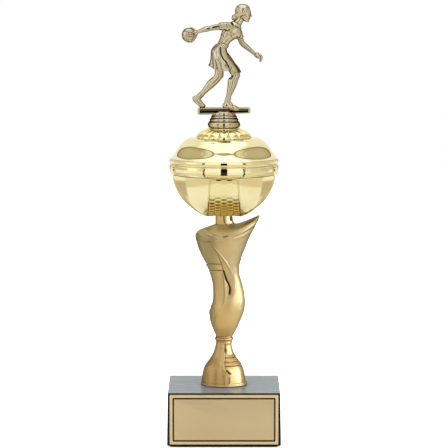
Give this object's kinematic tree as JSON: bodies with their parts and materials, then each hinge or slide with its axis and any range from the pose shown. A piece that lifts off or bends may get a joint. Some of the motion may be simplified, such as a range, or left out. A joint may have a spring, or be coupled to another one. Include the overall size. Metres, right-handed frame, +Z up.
{
  "type": "bowling trophy",
  "caption": "Column trophy: black block with blank plate, draped gold riser with a pointed wing, lidded gold cup and a bowler figure on a lane platform.",
  "frame": {"origin": "on the floor, at the middle of the felt sheet under the block, on the axis of the tie rod", "axes": "+Z up along the tie rod; -Y out of the front face with the engraving plate; +X the way the figure bowls"},
  "size_m": [0.115, 0.1165, 0.445],
  "materials": {
    "gloss_black": "polished black",
    "plate_gold": "gold anodised, fine brushed, printed black border",
    "adhesive": "double-sided adhesive sheet",
    "felt": "black felt",
    "zinc": "zinc plated",
    "riser_gold": "satin gold metallised plastic",
    "riser_gold_bright": "bright gold metallised plastic",
    "cup_gold": "mirror gold metallised plastic",
    "figure_gold": "pale gold metallised plastic",
    "brass": "plain"
  },
  "bodies": {
    "base": {"base_felt": "felt", "base_block": "gloss_black", "plate_adhesive": "adhesive", "engraving_plate": "plate_gold", "tie_rod": "zinc", "base_washer": "zinc", "base_lock_washer": "zinc"},
    "base_nut": {"base_nut": "zinc"},
    "riser": {"riser_foot": "riser_gold_bright", "riser_ring": "riser_gold_bright", "riser_column": "riser_gold", "riser_drape": "riser_gold"},
    "cup": {"cup_bowl": "cup_gold", "cup_band": "cup_gold", "cup_dome": "cup_gold", "fluted_collar": "cup_gold", "bowl_washer": "zinc"},
    "bowl_nut": {"bowl_nut": "zinc"},
    "figure": {"figure_pedestal": "figure_gold", "figure_insert": "brass", "lane_platform": "figure_gold", "bowler": "figure_gold"}
  },
  "joints": [
    {"name": "base_nut_turn", "type": "hinge", "parent": "base", "child": "base_nut", "pos_m": [0, 0, 0.015], "axis": [0, 0, 1], "continuous": true},
    {"name": "riser_turn", "type": "hinge", "parent": "base", "child": "riser", "pos_m": [0, 0, 0.0557], "axis": [0, 0, 1], "continuous": true},
    {"name": "cup_turn", "type": "hinge", "parent": "base", "child": "cup", "pos_m": [0, 0, 0.2304], "axis": [0, 0, 1], "continuous": true},
    {"name": "bowl_nut_turn", "type": "hinge", "parent": "base", "child": "bowl_nut", "pos_m": [0, 0, 0.238], "axis": [0, 0, 1], "continuous": true},
    {"name": "figure_turn", "type": "hinge", "parent": "base", "child": "figure", "pos_m": [0, 0, 0.3197], "axis": [0, 0, 1], "continuous": true}
  ]
}
